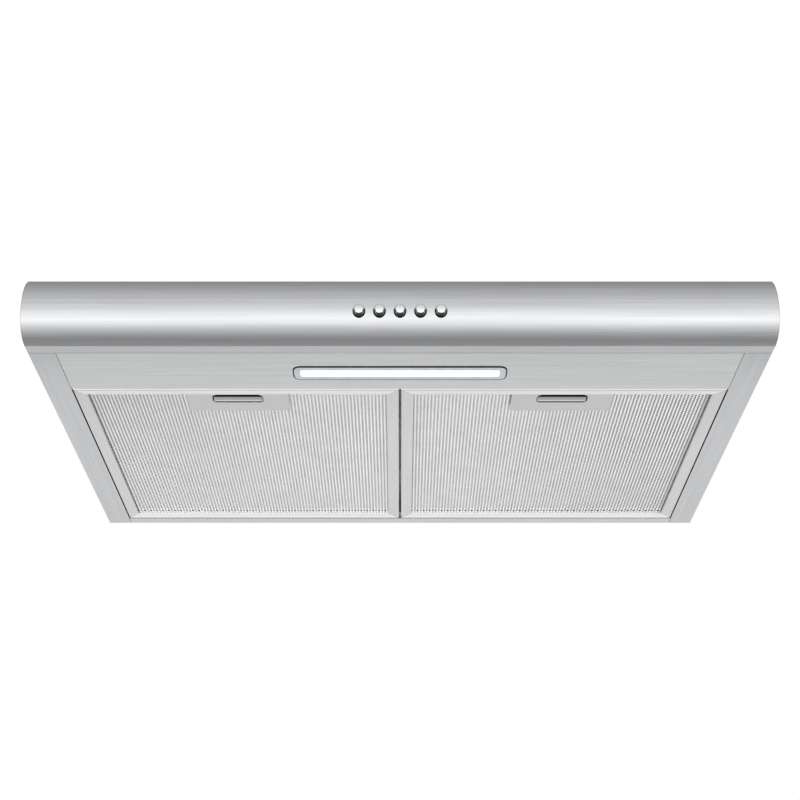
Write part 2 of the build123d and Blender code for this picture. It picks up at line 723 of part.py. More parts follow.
def button(x):
    """Domed cap and stem, turned about the line of travel."""
    radius = BUTTON_RADIUS
    front = BUTTON_FRONT_Y
    skirt_y = -343.0
    cavity_y = -350.8
    dome = CenterArc((0, front + DOME_RADIUS), DOME_RADIUS, 270, 10)
    rim = dome @ 1
    walls = Polyline(
        (0, front), (0, STEM_END_Y), (STEM_RADIUS, STEM_END_Y), (STEM_RADIUS, cavity_y),
        (4.3, cavity_y), (4.3, skirt_y), (radius, skirt_y), (radius, front + 2.6),
    )
    shoulder = ThreePointArc((radius, front + 2.6), (4.88, front + 1.07), rim)
    profile = make_face([walls, shoulder, dome])
    return Pos(x, 0, BUTTON_Z) * revolve(profile, axis=Axis.Y)


def switch_block():
    """Row of push switches in one moulding, with a bore for each stem."""
    body = block(-52, 52, SWITCH_FRONT_Y, SWITCH_REAR_Y, BUTTON_Z - 10, BUTTON_Z + 10)
    for x in button_xs():
        start = (x, SWITCH_FRONT_Y - 1, BUTTON_Z)
        body -= rod(STEM_RADIUS + 0.4, start, (x, -320, BUTTON_Z))
    return body


def switch_bracket():
    """Angle that stands on the visor's floor and carries the switches."""
    floor = BASE_Z + SHEET
    foot = block(-60, 60, SWITCH_REAR_Y, SEAM_Y - 2, floor, floor + 1)
    return foot + block(-60, 60, SWITCH_REAR_Y, SWITCH_REAR_Y + 1, floor, BUTTON_Z + 12)


def button_springs():
    """Return springs round the stems, drawn at their pressed length."""
    return [coil(3.1, 0.3, 2.4, (x, SWITCH_FRONT_Y - 12.4, BUTTON_Z), 12.1) for x in button_xs()]


# Mains connection and wiring


def junction_box():
    """Open box under the deck round the mains terminals."""
    wall = 2.0
    box = block(BOX_LEFT_X, BOX_RIGHT_X, BOX_FRONT_Y, BOX_REAR_Y, BOX_BOTTOM_Z, -2 * SHEET)
    inside = block(
        BOX_LEFT_X + wall, BOX_RIGHT_X - wall, BOX_FRONT_Y + wall, BOX_REAR_Y - wall,
        BOX_BOTTOM_Z - 1, -2 * SHEET - wall,
    )
    box -= inside
    return box - post(INLET_X, INLET_Y, BUSHING_RADIUS, -6, 3)


def junction_cover():
    """Lid of the junction box."""
    lid = block(BOX_LEFT_X, BOX_RIGHT_X, BOX_FRONT_Y, BOX_REAR_Y, BOX_BOTTOM_Z - 1.5, BOX_BOTTOM_Z)
    rim = block(
        BOX_LEFT_X + 2.2, BOX_RIGHT_X - 2.2, BOX_FRONT_Y + 2.2, BOX_REAR_Y - 2.2, BOX_BOTTOM_Z, BOX_BOTTOM_Z + 2
    )
    hollow = block(
        BOX_LEFT_X + 4, BOX_RIGHT_X - 4, BOX_FRONT_Y + 4, BOX_REAR_Y - 4, BOX_BOTTOM_Z, BOX_BOTTOM_Z + 3
    )
    return lid + (rim - hollow)


def terminal_block():
    """Three-way terminal strip on the roof of the junction box."""
    roof = -2 * SHEET - 2
    strip = block(208, 230, 98, 140, roof - 18, roof)
    for i in range(3):
        y = 105 + 14 * i
        strip -= block(207, 213, y - 3, y + 3, roof - 14, roof - 8)
        strip -= post(222, y, 2.4, roof - 19, roof - 12)
    return strip


def cable_bushing():
    """Rubber bushing where the mains cable enters through the deck."""
    roof = -2 * SHEET - 2
    body = post(INLET_X, INLET_Y, BUSHING_RADIUS, roof, 0)
    body += post(INLET_X, INLET_Y, BUSHING_RADIUS + 3, roof - 2.5, roof)
    body += post(INLET_X, INLET_Y, BUSHING_RADIUS + 3, 0, 2)
    return body - post(INLET_X, INLET_Y, BUSHING_BORE, -10, 5)


def wire_route(points, radius, bends):
    """A sleeved wire bundle along straight runs joined by arcs."""
    path = FilletPolyline(*points, radius=bends)
    section = Plane(origin=path @ 0, z_dir=path % 0) * Circle(radius)
    return sweep(section, path=path)


def wiring_harness():
    """Bundles from the junction box to the motor, the switches and the lamp driver."""
    to_motor = [
        (BOX_LEFT_X, 132, WIRE_Z), (110, 132, WIRE_Z), (110, -25, WIRE_Z),
        (-170, -25, WIRE_Z), (-170, -25, MOTOR_TOP_Z),
    ]
    to_switches = [
        (BOX_LEFT_X, 116, WIRE_Z), (130, 116, WIRE_Z), (130, -140, WIRE_Z),
        (130, -270, -75), (90, -324, -107), (52, -324, -107),
    ]
    to_driver = [
        (BOX_LEFT_X, 100, WIRE_Z), (150, 100, WIRE_Z), (150, -140, WIRE_Z),
        (180, -276, -75), (180, -276, -108),
    ]
    bundles = [
        wire_route(to_motor, WIRE_RADIUS, [16, 16, 8]),
        wire_route(to_switches, WIRE_RADIUS, [16, 30, 20, 12]),
        wire_route(to_driver, WIRE_RADIUS, [12, 30, 12]),
    ]
    bundles.append(rod(WIRE_RADIUS, (150, -270, -119), (112, -270, -119)))
    return bundles


def harness_clips():
    """Saddle clips that hold the bundles to the deck."""
    clips = []
    for x, y in ((110, 60), (130, 40), (150, 20), (130, -90), (150, -90)):
        saddle = block(x - 5, x + 5, y - 3, y + 3, WIRE_Z - 4, -SHEET)
        clips.append(saddle - rod(WIRE_RADIUS, (x, y - 5, WIRE_Z), (x, y + 5, WIRE_Z)))
    for x in (60, -60):
        saddle = block(x - 3, x + 3, -30, -20, WIRE_Z - 4, -SHEET)
        clips.append(saddle - rod(WIRE_RADIUS, (x - 5, -25, WIRE_Z), (x + 5, -25, WIRE_Z)))
    return clips


# Fasteners


def casing_rivets():
    """Rivets through the deck into the side panels, and through the collar flange."""
    rivets = []
    for x, y in rivet_points():
        closed_end = post(x, y, 2.8, -2 * SHEET - 1, -2 * SHEET)
        rivets.append(post(x, y, 1.6, -2 * SHEET, 0) + post(x, y, 3, 0, 1) + closed_end)
    for x, y in collar_rivet_points():
        rivets.append(post(x, y, 1.6, -SHEET, 1.2) + post(x, y, 3, 1.2, 2.2))
    return rivets


def main():
    os.makedirs("parts", exist_ok=True)
    right_side = side_panel()
    right_cap = visor_end_cap()
    save("canopy_shell", canopy_shell())
    save("side_panel_right", right_side)
    save("side_panel_left", mirrored(right_side))
    save("back_panel", back_panel())
    save("visor_front", visor_front())
    save("visor_end_cap_right", right_cap)
    save("visor_end_cap_left", mirrored(right_cap))
    save("lamp_panel", lamp_panel())
    save("lamp_bezel", lamp_bezel())
    save("lamp_diffuser", lamp_diffuser())
    save("lamp_housing", lamp_housing())
    save("led_board", led_board())
    save("led_driver", led_driver())

    filter_pieces = {
        "filter_frame": filter_frame(),
        "front_mesh": [mesh_layer(MESH_Z, MESH_Z + FACE_MESH)],
        "mesh_pack": [mesh_layer(PACK_Z, PACK_Z + PACK_SHEET)],
        "rear_mesh": [mesh_layer(REAR_MESH_Z, REAR_MESH_Z + FACE_MESH)],
        "handle_plate": [handle_plate()],
        "latch_cup": [latch_cup()],
        "latch_slide": [latch_slide()],
        "latch_springs": latch_springs(),
    }
    for name, shapes in filter_pieces.items():
        save(f"{name}_right", *shapes)
        save(f"{name}_left", *[mirrored(shape) for shape in shapes])
    bracket = hinge_bracket()
    save("filter_hinge_brackets", bracket, mirrored(bracket))
    save("filter_centre_rail", centre_rail())

    save("scroll_lower", scroll_lower())
    save("scroll_upper", scroll_upper())
    save("intake_grille", intake_grille())
    save("motor", motor())
    save("motor_shaft", motor_shaft())
    save("motor_bracket", motor_bracket())
    save("motor_grommets", *motor_grommets())
    save("impeller", impeller())
    save("capacitor", capacitor())

    save("outlet_plenum", outlet_plenum())
    save("duct_collar", duct_collar())
    save("flap_pin", flap_pin())
    save("damper_flap_right", damper_flap(RIGHT_KNUCKLES))
    save("damper_flap_left", mirrored(damper_flap(LEFT_KNUCKLES)))

    for number, x in enumerate(button_xs(), 1):
        save(f"button_{number}", button(x))
    save("switch_block", switch_block())
    save("switch_bracket", switch_bracket())
    save("button_springs", *button_springs())

    save("junction_box", junction_box())
    save("junction_cover", junction_cover())
    save("terminal_block", terminal_block())
    save("cable_bushing", cable_bushing())
    save("wiring_harness", *wiring_harness())
    save("harness_clips", *harness_clips())
    save("casing_rivets", *casing_rivets())


main()
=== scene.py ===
import math

import bmesh
import bpy
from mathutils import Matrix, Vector


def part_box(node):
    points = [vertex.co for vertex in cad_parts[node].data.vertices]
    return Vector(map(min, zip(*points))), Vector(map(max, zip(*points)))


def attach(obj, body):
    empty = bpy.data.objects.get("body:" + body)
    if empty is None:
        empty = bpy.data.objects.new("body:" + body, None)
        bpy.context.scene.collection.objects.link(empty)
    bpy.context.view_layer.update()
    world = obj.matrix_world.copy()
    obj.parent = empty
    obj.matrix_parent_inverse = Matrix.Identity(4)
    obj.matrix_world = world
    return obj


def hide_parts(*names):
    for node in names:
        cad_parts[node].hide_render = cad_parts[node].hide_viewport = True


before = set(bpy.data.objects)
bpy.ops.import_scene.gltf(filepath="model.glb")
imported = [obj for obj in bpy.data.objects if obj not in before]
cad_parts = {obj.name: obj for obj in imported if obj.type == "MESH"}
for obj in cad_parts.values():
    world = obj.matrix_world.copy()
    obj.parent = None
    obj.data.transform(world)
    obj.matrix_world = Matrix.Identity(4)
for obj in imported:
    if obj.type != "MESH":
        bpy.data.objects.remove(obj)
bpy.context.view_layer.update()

bl_info = {
    "name": "Under-cabinet range hood",
    "version": (1, 0, 0),
    "blender": (4, 5, 0),
    "location": "View3D > Sidebar > Hood",
    "description": "Builds the visible pieces and finishes of a slim under-cabinet range hood",
    "category": "Object",
}

MM = 0.001
SIDES = ("left", "right")
BUTTON_COUNT = 5
# Flat facets in a quarter turn of a rolled edge, and of a rounded corner in plan
ROLL_FACETS = 8
CORNER_FACETS = 12


# Colours and nodes


def linear(colour):
    """Linear RGBA of an sRGB hex colour."""
    parts = [int(colour[i:i + 2], 16) / 255 for i in (0, 2, 4)]
    return [c / 12.92 if c <= 0.04045 else ((c + 0.055) / 1.055) ** 2.4 for c in parts] + [1.0]


def add_node(tree, kind, links=None, **settings):
    """Adds one node, sets its properties, then fills or links the inputs named in links."""
    node = tree.nodes.new(kind)
    for key, value in settings.items():
        setattr(node, key, value)
    for socket, source in (links or {}).items():
        if isinstance(source, bpy.types.NodeSocket):
            tree.links.new(source, node.inputs[socket])
        else:
            node.inputs[socket].default_value = source
    return node


def new_material(name):
    """A material with an empty node tree and its output node."""
    material = bpy.data.materials.new(name)
    material.use_nodes = True
    tree = material.node_tree
    tree.nodes.clear()
    return material, tree


def streaks(tree, across, along, axis, detail=3.0):
    """Noise drawn out along one axis: across and along are the mark's width and length in mm."""
    place = add_node(tree, "ShaderNodeTexCoord")
    sizes = [1 / (across * MM)] * 3
    sizes["XYZ".index(axis)] = 1 / (along * MM)
    scaled = add_node(
        tree, "ShaderNodeMapping", {"Vector": place.outputs["Object"], "Scale": sizes}
    )
    noise = add_node(
        tree, "ShaderNodeTexNoise",
        {"Vector": scaled.outputs["Vector"], "Scale": 1.0, "Detail": detail, "Roughness": 0.6},
    )
    return noise.outputs["Fac"]


def spread(tree, source, low, high):
    """Maps the useful middle of a noise, 0.3 to 0.7, to a range of values."""
    mapped = add_node(
        tree, "ShaderNodeMapRange",
        {"Value": source, "From Min": 0.3, "From Max": 0.7, "To Min": low, "To Max": high},
    )
    return mapped.outputs["Result"]


def blend(tree, factor, dark, light):
    """Colour between two hex colours or colour sockets."""
    ends = [c if isinstance(c, bpy.types.NodeSocket) else linear(c) for c in (dark, light)]
    mixed = add_node(
        tree, "ShaderNodeMix",
        {0: factor, 6: ends[0], 7: ends[1]},
        data_type="RGBA",
    )
    return mixed.outputs[2]


def finish(tree, links):
    """The surface shader and output of a material."""
    shader = add_node(tree, "ShaderNodeBsdfPrincipled", links)
    add_node(tree, "ShaderNodeOutputMaterial", {"Surface": shader.outputs["BSDF"]})


def brushed_sheet(name, dark, light, rough, grain="X"):
    """Sheet metal brushed along one axis: fine parallel scratches with broader, fainter bands.

    The scratches blur a reflection across the grain, so a curve shows long soft bands of tone.
    Real scratches are about 0.1 mm wide, too fine to draw, so they are drawn 0.9 mm wide.
    """
    material, tree = new_material(name)
    fine = streaks(tree, 0.9, 70.0, grain)
    broad = streaks(tree, 5.0, 190.0, grain, 2.0)
    both = add_node(tree, "ShaderNodeMath", {0: fine, 1: broad}, operation="ADD")
    tone = add_node(tree, "ShaderNodeMath", {0: both.outputs[0], 1: 0.5}, operation="MULTIPLY")
    bump = add_node(
        tree, "ShaderNodeBump", {"Height": fine, "Strength": 0.25, "Distance": 0.02 * MM}
    )
    tangent = add_node(tree, "ShaderNodeTangent", direction_type="RADIAL", axis=grain)
    finish(tree, {
        "Base Color": blend(tree, spread(tree, tone.outputs[0], 0.0, 1.0), dark, light),
        "Metallic": 1.0,
        "Roughness": spread(tree, fine, rough - 0.04, rough + 0.05),
        "Anisotropic": 0.75,
        "Tangent": tangent.outputs["Tangent"],
        "Normal": bump.outputs["Normal"],
    })
    return material


def grained(name, dark, light, grain, rough, depth, metallic=0.0, coat=0.0):
    """A material with an even fine grain: grain is its size in mm and depth its relief in mm."""
    material, tree = new_material(name)
    place = add_node(tree, "ShaderNodeTexCoord")
    close = add_node(
        tree, "ShaderNodeTexNoise",
        {"Vector": place.outputs["Object"], "Scale": 1 / (grain * MM), "Detail": 2.0},
    )
    wide = add_node(
        tree, "ShaderNodeTexNoise",
        {"Vector": place.outputs["Object"], "Scale": 1 / (grain * 30 * MM), "Detail": 3.0},
    )
    bump = add_node(
        tree, "ShaderNodeBump",
        {"Height": close.outputs["Fac"], "Strength": 0.4, "Distance": depth * MM},
    )
    finish(tree, {
        "Base Color": blend(tree, spread(tree, wide.outputs["Fac"], 0.0, 1.0), dark, light),
        "Metallic": metallic,
        "Roughness": spread(tree, close.outputs["Fac"], rough - 0.04, rough + 0.06),
        "Coat Weight": coat,
        "Normal": bump.outputs["Normal"],
    })
    return material


def zinc_coated():
    """Hot-dip zinc coated steel sheet: faint crystals a few mm across, each at its own grey."""
    material, tree = new_material("zinc_coated_steel_hot_dipped")
    place = add_node(tree, "ShaderNodeTexCoord")
    crystals = add_node(
        tree, "ShaderNodeTexVoronoi",
        {"Vector": place.outputs["Object"], "Scale": 1 / (9.0 * MM), "Randomness": 1.0},
    )
    grey = add_node(tree, "ShaderNodeSeparateColor", {"Color": crystals.outputs["Color"]})
    cloud = add_node(
        tree, "ShaderNodeTexNoise",
        {"Vector": place.outputs["Object"], "Scale": 1 / (40.0 * MM), "Detail": 4.0},
    )
    plain = blend(tree, grey.outputs["Red"], "BFC2C4", "D2D4D5")
    finish(tree, {
        "Base Color": blend(tree, spread(tree, cloud.outputs["Fac"], 0.0, 0.35), plain, "C4C6C6"),
        "Metallic": 1.0,
        "Roughness": add_node(
            tree, "ShaderNodeMapRange",
            {"Value": grey.outputs["Green"], "To Min": 0.34, "To Max": 0.5},
        ).outputs["Result"],
    })
    return material


def expanded_sheet():
    """Aluminium foil mesh in several expanded layers: small bright diamonds, with the holes painted darker as
    painted shade.
    """
    material, tree = new_material("aluminium_foil_expanded_layers")
    place = add_node(tree, "ShaderNodeTexCoord")
    cells = add_node(
        tree, "ShaderNodeMapping",
        {"Vector": place.outputs["Object"], "Scale": [1 / (2.4 * MM), 1 / (1.5 * MM), 1 / (20 * MM)]},
    )
    edges = add_node(
        tree, "ShaderNodeTexVoronoi",
        {"Vector": cells.outputs["Vector"], "Scale": 1.0, "Randomness": 0.55},
        feature="DISTANCE_TO_EDGE",
    )
    thread = add_node(
        tree, "ShaderNodeMapRange",
        {"Value": edges.outputs["Distance"], "From Min": 0.1, "From Max": 0.34},
    )
    bump = add_node(
        tree, "ShaderNodeBump",
        {"Height": edges.outputs["Distance"], "Strength": 0.6, "Distance": 0.5 * MM},
        invert=True,
    )
    # The holes are painted darker, as painted shade in the layers below
    finish(tree, {
        "Base Color": blend(tree, thread.outputs["Result"], "DCDDDF", "7E7F81"),
        "Metallic": 0.85,
        "Roughness": 0.28,
        "Normal": bump.outputs["Normal"],
    })
    return material


def polished_pull():
    """Steel pull tab with a polished crown; its web is painted black, as painted shade in the slot.

    The crown is the lowest fifth of the tab's height.
    """
    material, tree = new_material("steel_pull_polished_crown")
    place = add_node(tree, "ShaderNodeTexCoord")
    height = add_node(tree, "ShaderNodeSeparateXYZ", {"Vector": place.outputs["Generated"]})
    web = add_node(
        tree, "ShaderNodeMapRange",
        {"Value": height.outputs["Z"], "From Min": 0.18, "From Max": 0.23},
    )
    wiped = add_node(
        tree, "ShaderNodeTexNoise",
        {"Vector": place.outputs["Object"], "Scale": 1 / (3.0 * MM), "Detail": 2.0},
    )
    finish(tree, {
        "Base Color": blend(tree, web.outputs["Result"], "F2F2F2", "101011"),
        "Metallic": 1.0,
        "Roughness": spread(tree, wiped.outputs["Fac"], 0.3, 0.36),
    })
    return material


def plated_button():
    """Push button with a bright cap; its barrel is painted darker, as painted shade under the cap.

    The cap ends about 1 mm behind the front, a small share of the button's length.
    """
    material, tree = new_material("chrome_plated_abs_bright_cap")
    place = add_node(tree, "ShaderNodeTexCoord")
    depth = add_node(tree, "ShaderNodeSeparateXYZ", {"Vector": place.outputs["Generated"]})
    barrel = add_node(
        tree, "ShaderNodeMapRange",
        {"Value": depth.outputs["Y"], "From Min": 0.025, "From Max": 0.06},
    )
    haze = add_node(
        tree, "ShaderNodeTexNoise",
        {"Vector": place.outputs["Object"], "Scale": 1 / (4.0 * MM), "Detail": 2.0},
    )
    finish(tree, {
        "Base Color": blend(tree, barrel.outputs["Result"], "F0F1F2", "5A5C5F"),
        "Metallic": 1.0,
        "Roughness": spread(tree, haze.outputs["Fac"], 0.06, 0.1),
    })
    return material


def lit_opal():
    """Opal moulded plastic lit from behind: even white, a touch softer towards its edge."""
    material, tree = new_material("opal_acrylic_moulded_lit")
    place = add_node(tree, "ShaderNodeTexCoord")
    cloud = add_node(
        tree, "ShaderNodeTexNoise",
        {"Vector": place.outputs["Object"], "Scale": 1 / (25.0 * MM), "Detail": 1.0},
    )
    finish(tree, {
        "Base Color": blend(tree, cloud.outputs["Fac"], "F4F6F7", "FCFDFD"),
        "Roughness": 0.35,
        "Emission Color": blend(tree, cloud.outputs["Fac"], "F8FBFF", "FFFFFF"),
        "Emission Strength": 1.05,
    })
    return material


def clear_acrylic():
    """Clear acrylic beside a lit window: pale bluish grey with a wet gloss, and a faint painted glow for the
    lamp's light through it.
    """
    material, tree = new_material("acrylic_clear_moulded")
    place = add_node(tree, "ShaderNodeTexCoord")
    cloud = add_node(
        tree, "ShaderNodeTexNoise",
        {"Vector": place.outputs["Object"], "Scale": 1 / (12.0 * MM), "Detail": 2.0},
    )
    tint = blend(tree, spread(tree, cloud.outputs["Fac"], 0.0, 1.0), "B4BEC4", "C4CDD2")
    finish(tree, {
        "Base Color": tint,
        "Roughness": 0.14,
        "Coat Weight": 0.4,
        # The glow is painted light: the lamp's light seen through the acrylic
        "Emission Color": tint,
        "Emission Strength": 0.33,
    })
    return material


def woven_sleeve():
    """Braided glass sleeve over wires: a fine criss-cross of threads."""
    material, tree = new_material("glass_fibre_sleeve_woven")
    place = add_node(tree, "ShaderNodeTexCoord")
    threads = add_node(
        tree, "ShaderNodeTexWave",
        {"Vector": place.outputs["Object"], "Scale": 1 / (3.0 * MM), "Distortion": 1.5},
        bands_direction="DIAGONAL",
    )
    bump = add_node(
        tree, "ShaderNodeBump",
        {"Height": threads.outputs["Fac"], "Strength": 0.5, "Distance": 0.2 * MM},
    )
    finish(tree, {
        "Base Color": blend(tree, threads.outputs["Fac"], "2A2A2C", "4A4A4D"),
        "Roughness": 0.75,
        "Normal": bump.outputs["Normal"],
    })
    return material


def circuit_board():
    """Aluminium-backed circuit board with white solder mask and pale diodes."""
    material, tree = new_material("circuit_board_white_mask_printed")
    place = add_node(tree, "ShaderNodeTexCoord")
    tracks = add_node(
        tree, "ShaderNodeTexBrick",
        {
            "Vector": place.outputs["Object"], "Scale": 1 / (12.0 * MM), "Mortar Size": 0.03,
            "Color1": linear("EDEFEA"), "Color2": linear("E4E7E0"), "Mortar": linear("C9CCBF"),
        },
    )
    finish(tree, {"Base Color": tracks.outputs["Color"], "Roughness": 0.4})
    return material


def make_finishes():
    """Every finish by name. The metals' tones are chosen for the look, not measured; some are lighter or
    darker copies of one metal, as painted light and shade.
    """
    return {
        # Sheet brushed with a long grain: soft bands along the width, fine bright scratches
        "stainless": brushed_sheet("stainless_steel_brushed_long_grain", "C6C7C9", "D4D5D6", 0.19),
        # The same sheet with its grain turned from front to back, painted darker as painted shade
        "stainless_side_painted_shade": brushed_sheet(
            "stainless_steel_brushed_lengthwise_painted_shade", "B2B3B5", "C0C1C3", 0.19, grain="Y"
        ),
        # The same sheet painted brighter on the lamp panel, as painted light
        "stainless_lamp_painted_light": brushed_sheet(
            "stainless_steel_brushed_lamp_panel_painted_light", "D0D1D2", "DEDFDF", 0.19
        ),
        "zinc": zinc_coated(),
        # Clear acrylic over a grey tray: bluish grey with a wet highlight and a faint painted glow
        "clear": clear_acrylic(),
        "opal": lit_opal(),
        # Powder coat: white with a faint orange-peel ripple
        "enamel": grained("steel_white_powder_coated", "E2E2E0", "ECECEA", 1.2, 0.3, 0.02, coat=0.2),
        "board": circuit_board(),
        # ABS with a spark-eroded mould grain: breaks the highlight into a soft sheen
        "black": grained("abs_black_moulded_grained", "141415", "1E1E20", 0.6, 0.5, 0.03),
        # Glass-filled polypropylene: flow marks and a dull grain
        "grey": grained("polypropylene_grey_moulded", "5A5C5E", "686A6C", 0.8, 0.55, 0.03),
        # Anodised bright aluminium, grain along each bar; the bars across are painted paler than bare metal
        # and than the bars along, as painted light
        "bar_across": brushed_sheet("aluminium_anodised_rolled_across_painted_light", "EEEEEF", "F8F8F8", 0.19),
        "bar_along": brushed_sheet(
            "aluminium_anodised_rolled_lengthwise", "C4C4C6", "D0D0D1", 0.24, grain="Y"
        ),
        # Slit and stretched aluminium, painted paler than bare metal as painted light, so that each strand
        # shows
        "strand": grained("aluminium_expanded_painted_light", "EAEAEB", "F2F2F2", 1.0, 0.19, 0.004, 1.0),
        "foil": expanded_sheet(),
        # Satin sheet: fine, even and slightly warm, so the plate reads plain beside the mesh
        "satin": grained("aluminium_satin_blasted", "D8D8D6", "DDDDDB", 0.5, 0.3, 0.004, 1.0),
        # Bright crown over a web painted black as painted shade, so that the slot in front of the tab looks
        # deep
        "pull": polished_pull(),
        # Bright plated cap; the darker barrel is painted shade, a shadowed rim under each button
        "chrome": plated_button(),
        # Drawn wire: die lines give a dull grey streak
        "wire": grained("spring_steel_drawn", "8C8D90", "A0A1A3", 0.4, 0.35, 0.005, 1.0),
        # Dipped motor enamel: satin black with soft sags
        "motor": grained("motor_enamel_black_dipped", "1B1B1D", "26262A", 3.0, 0.4, 0.05, coat=0.3),
        # Moulded rubber: matt, nearly black, slightly dusty; round the lamp the same black paints the shadow
        # in the gap
        "rubber": grained("rubber_black_moulded", "161616", "222222", 0.5, 0.8, 0.03),
        # Gloss thermoplastic can: clean white with a tight highlight
        "capacitor": grained("capacitor_case_white_moulded", "DCDCD8", "E6E6E2", 1.5, 0.35, 0.01),
        # Natural nylon: creamy and a little translucent looking
        "nylon": grained("nylon_natural_moulded", "DAD7C9", "E6E3D6", 1.0, 0.4, 0.01, coat=0.1),
        "sleeve": woven_sleeve(),
        # Blind rivet heads: dull bright dots on the zinc
        "rivet": grained("aluminium_rivet_headed", "C4C4C6", "D2D2D4", 0.7, 0.35, 0.01, 1.0),
    }


# Mesh helpers


def mesh_piece(name, points, faces, material, body, stands_for, crease=32.0):
    """A closed mesh piece from points in mm, smooth except at edges sharper than crease."""
    mesh = bpy.data.meshes.new(name)
    mesh.from_pydata([[c * MM for c in p] for p in points], [], faces)
    work = bmesh.new()
    work.from_mesh(mesh)
    bmesh.ops.recalc_face_normals(work, faces=work.faces)
    for face in work.faces:
        face.smooth = True
    for edge in work.edges:
        edge.smooth = edge.calc_face_angle(math.pi) < math.radians(crease)
    work.to_mesh(mesh)
    work.free()
    mesh.materials.append(material)
    piece = bpy.data.objects.new(name, mesh)
    bpy.context.scene.collection.objects.link(piece)
    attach(piece, body)
    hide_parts(*stands_for)


def paint(finish_name, *nodes):
    """Gives CAD nodes a finish."""
    for node in nodes:
        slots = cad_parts[node].data.materials
        slots.clear()
        slots.append(finishes[finish_name])


def box_mm(node):
    """A CAD node's lowest and highest corners, in mm."""
    low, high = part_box(node)
    return low / MM, high / MM


# Sizes and colours


class HoodStage(bpy.types.PropertyGroup):
    """Camera, floor and light."""

    camera_y: bpy.props.FloatProperty(
        name="Camera depth", description="How far in front of the screws the camera stands",
        default=-1.557, unit="LENGTH")
    camera_z: bpy.props.FloatProperty(
        name="Camera height", description="The camera's height from the deck",
        default=-0.820, unit="LENGTH")
    camera_pitch: bpy.props.FloatProperty(
        name="Camera pitch", description="Upward tilt of the camera",
        default=math.radians(26.96), subtype="ANGLE")
    camera_lens: bpy.props.FloatProperty(
        name="Focal length", description="Lens of the camera, in mm", default=63.8, unit="CAMERA")
    floor_z: bpy.props.FloatProperty(
        name="Floor height", description="The floor's height from the deck",
        default=-1.9, unit="LENGTH")
    floor_half: bpy.props.FloatProperty(
        name="Floor reach", description="Half the floor's width", default=40.0, unit="LENGTH")
    gain: bpy.props.FloatProperty(
        name="Studio gain", description="Strength of the studio's light", default=1.8)


class HoodLamp(bpy.types.PropertyGroup):
    """Rings round the lamp's window, in mm."""

    corner: bpy.props.FloatProperty(
        name="Corner", description="Radius of the lamp's outer corners, mm", default=8.0)
    # A black ring of painted shadow stands for the shaded gap round the lamp; the next four sizes are its own
    shadow_ring_end: bpy.props.FloatProperty(
        name="Shadow ring ends", description="Width of the gasket at both ends together, mm", default=2.2)
    shadow_ring_edge: bpy.props.FloatProperty(
        name="Shadow ring edges", description="Width of both long edges together, mm", default=2.0)
    shadow_ring_corner: bpy.props.FloatProperty(
        name="Shadow ring corner", description="Radius of the gasket's inner corners, mm", default=6.9)
    shadow_ring_depth: bpy.props.FloatProperty(
        name="Shadow ring depth", description="Thickness of the gasket, mm", default=0.8)
    clearance: bpy.props.FloatProperty(
        name="Clearance", description="Gap between gasket and surround, both sides, mm", default=0.1)
    window_gap: bpy.props.FloatProperty(
        name="Window gap", description="Gap round the window, both sides, mm", default=0.3)
    window_corner: bpy.props.FloatProperty(
        name="Window corner", description="Radius of the window's corners, mm", default=1.5)
    soft: bpy.props.FloatProperty(
        name="Soft edge", description="Size of the bevel on the lower outer edge, mm", default=0.3)


class HoodMesh(bpy.types.PropertyGroup):
    """Strands of the grease filters' expanded mesh, in mm.

    Real openings are about half as long; at that size they would only shimmer.
    """

    pitch: bpy.props.FloatProperty(
        name="Strand pitch", description="Distance between strands, mm", default=3.83)
    width: bpy.props.FloatProperty(
        name="Strand width", description="Width of a strand, mm", default=2.0)
    gauge: bpy.props.FloatProperty(
        name="Strand gauge", description="Thickness of a strand, mm", default=0.35)
    tilt: bpy.props.FloatProperty(
        name="Strand tilt", description="Twist of a strand out of the sheet",
        default=math.radians(7), subtype="ANGLE")
    swing: bpy.props.FloatProperty(
        name="Strand swing", description="Side to side swing of a strand, mm", default=0.95)
    step: bpy.props.FloatProperty(
        name="Opening step", description="Half the length of an opening, mm", default=2.1)
    front_z: bpy.props.FloatProperty(
        name="Face mesh height", description="Middle of the face mesh, mm", default=-125.45)
    rear_z: bpy.props.FloatProperty(
        name="Rear mesh height", description="Middle of the rear mesh, mm", default=-121.85)
    rear_step: bpy.props.FloatProperty(
        name="Rear opening step", description="Half an opening of the rear mesh, mm", default=4.2)
    rear_width: bpy.props.FloatProperty(
        name="Rear strand width", description="Width of a rear strand, mm", default=1.6)
    margin: bpy.props.FloatProperty(
        name="Side margin", description="Room left at both sides together, mm", default=3.0)
    crease: bpy.props.FloatProperty(
        name="Crease", description="Sharpest bend that is still shaded smooth, in degrees",
        default=20.0)


class HoodBars(bpy.types.PropertyGroup):
    """Rolled bars of the grease filters' frames, in mm."""

    front: bpy.props.FloatProperty(
        name="Front bar", description="Width of the front bar, mm", default=11.5)
    side: bpy.props.FloatProperty(
        name="Side bars", description="Width of the side bars, mm", default=13.6)
    rear: bpy.props.FloatProperty(
        name="Rear bar", description="Width of the rear bar, mm", default=14.5)
    wall: bpy.props.FloatProperty(
        name="Sheet", description="Thickness of the frame's sheet, mm", default=0.8)
    roll: bpy.props.FloatProperty(
        name="Outer roll", description="Radius along the outer edge, mm", default=1.6)
    turn: bpy.props.FloatProperty(
        name="Inner roll", description="Radius along the inner edge, mm", default=1.0)
    lip: bpy.props.FloatProperty(
        name="Lip", description="Height of the inner lip, mm", default=4.2)
    ledge: bpy.props.FloatProperty(
        name="Ledge", description="Width of the top flange, mm", default=10.0)
    guard: bpy.props.FloatProperty(
        name="Guard", description="Narrow strip beside each roll that holds the flat flat, mm",
        default=0.4)
